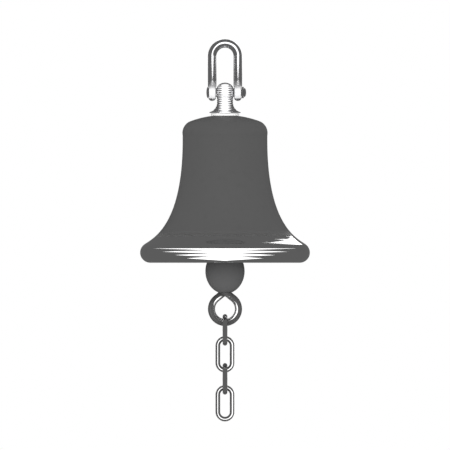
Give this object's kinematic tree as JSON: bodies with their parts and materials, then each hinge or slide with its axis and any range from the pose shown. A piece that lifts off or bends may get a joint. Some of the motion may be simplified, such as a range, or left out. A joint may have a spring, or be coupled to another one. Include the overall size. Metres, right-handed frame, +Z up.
{
  "type": "ship bell",
  "caption": "Hanging ship's bell on a shackle, with a flared metal bell, a screwed hanger stem, a swinging egg-shaped clapper and a short chain to pull it by.",
  "frame": {"origin": "inside top of the shackle bow, where a hook carries the bell", "axes": "+Z up along the bell's axis, X along the shackle pin, Y through the shackle bow"},
  "size_m": [0.2, 0.2, 0.4508],
  "materials": {
    "shackle_steel": "polished",
    "stem_steel": "turned",
    "washer_nylon": "satin",
    "bell_metal": "dark satin patina",
    "fastener_steel": "bright",
    "dark_steel": "blackened",
    "bob_metal": "dark satin",
    "eye_steel": "polished",
    "chain_steel": "polished"
  },
  "bodies": {
    "shackle": {"shackle_bow": "shackle_steel", "shackle_pin": "shackle_steel", "pin_washer": "shackle_steel"},
    "bell": {"hanger_stem": "stem_steel", "crown_washer": "washer_nylon", "bell_body": "bell_metal", "inner_washer": "fastener_steel", "lock_washer": "dark_steel", "crown_nut": "fastener_steel", "clapper_yoke": "dark_steel", "clapper_pin": "fastener_steel", "clapper_pin_washer": "fastener_steel", "cotter_pin": "fastener_steel"},
    "clapper": {"clapper_shank": "dark_steel", "bob_lock_nut": "fastener_steel", "clapper_bob": "bob_metal", "lanyard_eye": "eye_steel"},
    "link_1": {"chain_link_1": "chain_steel"},
    "link_2": {"chain_link_2": "chain_steel"},
    "link_3": {"chain_link_3": "chain_steel"},
    "link_4": {"chain_link_4": "chain_steel"}
  },
  "joints": [
    {"name": "bell_swing", "type": "hinge", "parent": "shackle", "child": "bell", "pos_m": [0, 0, -0.0529], "axis": [1, 0, 0], "range_deg": [-115, 115]},
    {"name": "clapper_swing", "type": "hinge", "parent": "bell", "child": "clapper", "pos_m": [0, 0, -0.1243], "axis": [0, 1, 0], "range_deg": [-25, 25]},
    {"name": "link_1_swing", "type": "hinge", "parent": "clapper", "child": "link_1", "pos_m": [0, 0, -0.3239], "axis": [1, 0, 0], "range_deg": [-90, 90]},
    {"name": "link_2_swing", "type": "hinge", "parent": "link_1", "child": "link_2", "pos_m": [0, 0, -0.3485], "axis": [0, 1, 0], "range_deg": [-90, 90]},
    {"name": "link_3_swing", "type": "hinge", "parent": "link_2", "child": "link_3", "pos_m": [0, 0, -0.3802], "axis": [1, 0, 0], "range_deg": [-90, 90]},
    {"name": "link_4_swing", "type": "hinge", "parent": "link_3", "child": "link_4", "pos_m": [0, 0, -0.4062], "axis": [0, 1, 0], "range_deg": [-90, 90]}
  ]
}
